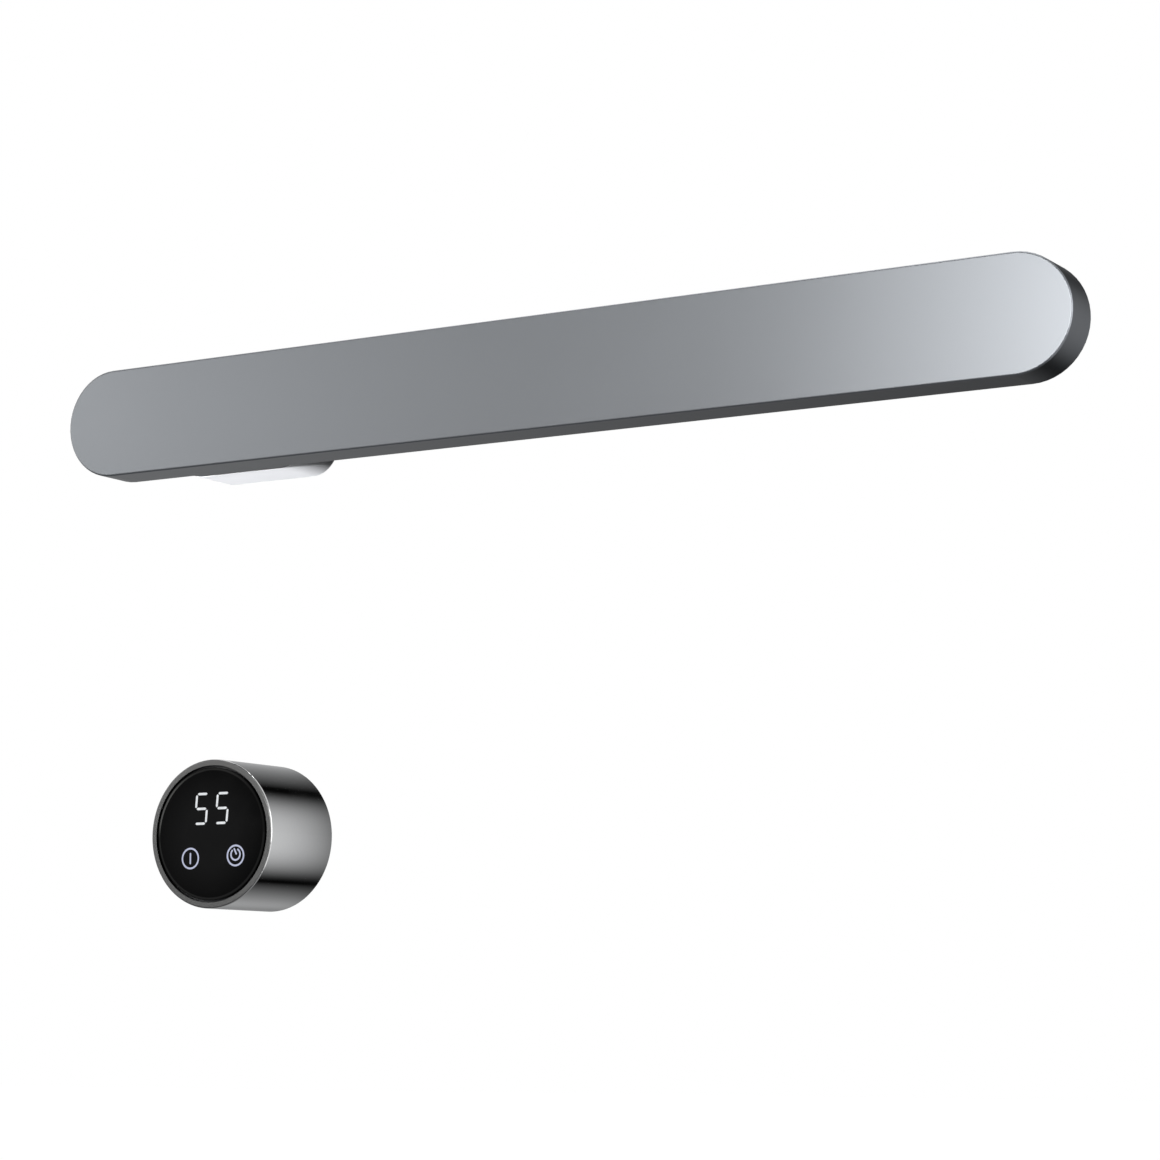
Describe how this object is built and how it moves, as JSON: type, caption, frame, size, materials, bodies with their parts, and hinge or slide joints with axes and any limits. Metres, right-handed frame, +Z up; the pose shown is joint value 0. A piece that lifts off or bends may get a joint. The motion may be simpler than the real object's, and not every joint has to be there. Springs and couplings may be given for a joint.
{
  "type": "heated towel rail",
  "caption": "Flat pill-shaped electric towel bar held off the wall by one hollow post, with a separate round wall control with a turning sleeve and a glass display.",
  "frame": {"origin": "centre of the bar's bracket on the wall plane", "axes": "+X along the bar to the right, +Y into the wall, +Z up; the front faces -Y"},
  "size_m": [0.5998, 0.116, 0.2988],
  "materials": {
    "gunmetal": "satin gunmetal finish on sheet steel",
    "polished_gunmetal": "polished gunmetal plating",
    "bright_collar": "bright satin steel",
    "inner_steel": "plain zinc-plated steel",
    "screw_steel": "plated screws and nuts",
    "aluminium": "mill finish",
    "silicone": "matte silicone",
    "heater_alloy": "etched resistance alloy",
    "lead_brown": "silicone lead sleeve",
    "lead_blue": "silicone lead sleeve",
    "lead_white": "silicone lead sleeve",
    "lead_green": "silicone lead sleeve",
    "black_rubber": "matte rubber",
    "ceramic": "glazed steatite",
    "terminal_brass": "plated brass",
    "black_glass": "back-printed black glass",
    "lit_white": "lit from behind",
    "key_ink": "printed ink lit from behind",
    "black_plastic": "moulded",
    "acetal": "low-friction moulding",
    "board_green": "lacquered board",
    "component_blue": "moulded case",
    "component_black": "moulded case",
    "adhesive": "foam adhesive"
  },
  "bodies": {
    "wall_units": {"bar_front_shell": "gunmetal", "bar_rear_cover": "gunmetal", "mount_post": "gunmetal", "wall_collar": "bright_collar", "bar_inner_pan": "inner_steel", "post_anchor_block": "inner_steel", "wall_bracket": "inner_steel", "control_wall_plate": "inner_steel", "stud_spacers": "aluminium", "heat_spreader": "aluminium", "stud_nuts": "screw_steel", "cover_pillars": "screw_steel", "cover_screws": "screw_steel", "post_screws": "screw_steel", "post_grub_screws": "screw_steel", "terminal_ear_screws": "screw_steel", "earth_screw": "terminal_brass", "terminal_pole_screws": "terminal_brass", "earth_lug": "terminal_brass", "board_pillars": "terminal_brass", "power_board_screws": "screw_steel", "base_screws": "screw_steel", "touch_springs": "screw_steel", "heater_front_sheet": "silicone", "heater_rear_sheet": "silicone", "heater_lead_cap": "silicone", "heater_track": "heater_alloy", "thermal_fuse": "ceramic", "temperature_sensor": "adhesive", "live_lead": "lead_brown", "neutral_lead": "lead_blue", "sensor_lead": "lead_white", "earth_lead": "lead_green", "lead_bush": "black_rubber", "bracket_grommet": "black_rubber", "control_grommet": "black_rubber", "bracket_terminal_block": "ceramic", "rear_glide_ring": "black_plastic", "front_glide_ring": "black_plastic", "encoder_body": "component_black", "control_housing": "black_plastic", "control_base": "black_plastic", "glass_seal": "adhesive", "glass_panel": "black_glass", "lit_digits": "lit_white", "key_marks": "key_ink", "display_board": "board_green", "power_board": "board_green", "display_module": "component_black", "buzzer": "component_black", "board_link": "component_black", "heater_relay": "component_blue", "power_supply": "component_black", "supply_capacitor": "component_black", "surge_varistor": "component_blue", "control_terminal_block": "component_blue"},
    "turning_sleeve": {"control_sleeve": "polished_gunmetal", "sleeve_ring_gear": "acetal"},
    "encoder_rotor": {"encoder_wheel": "acetal"}
  },
  "joints": [
    {"name": "sleeve_turn", "type": "hinge", "parent": "wall_units", "child": "turning_sleeve", "pos_m": [0.0033, -0.03, -0.2271], "axis": [0, 1, 0], "continuous": true},
    {"name": "encoder_turn", "type": "hinge", "parent": "wall_units", "child": "encoder_rotor", "pos_m": [0.0033, -0.011, -0.2011], "axis": [0, 1, 0], "continuous": true}
  ],
  "couplings": [
    {"joint": "encoder_turn", "follows": "sleeve_turn", "ratio": 3.6}
  ]
}
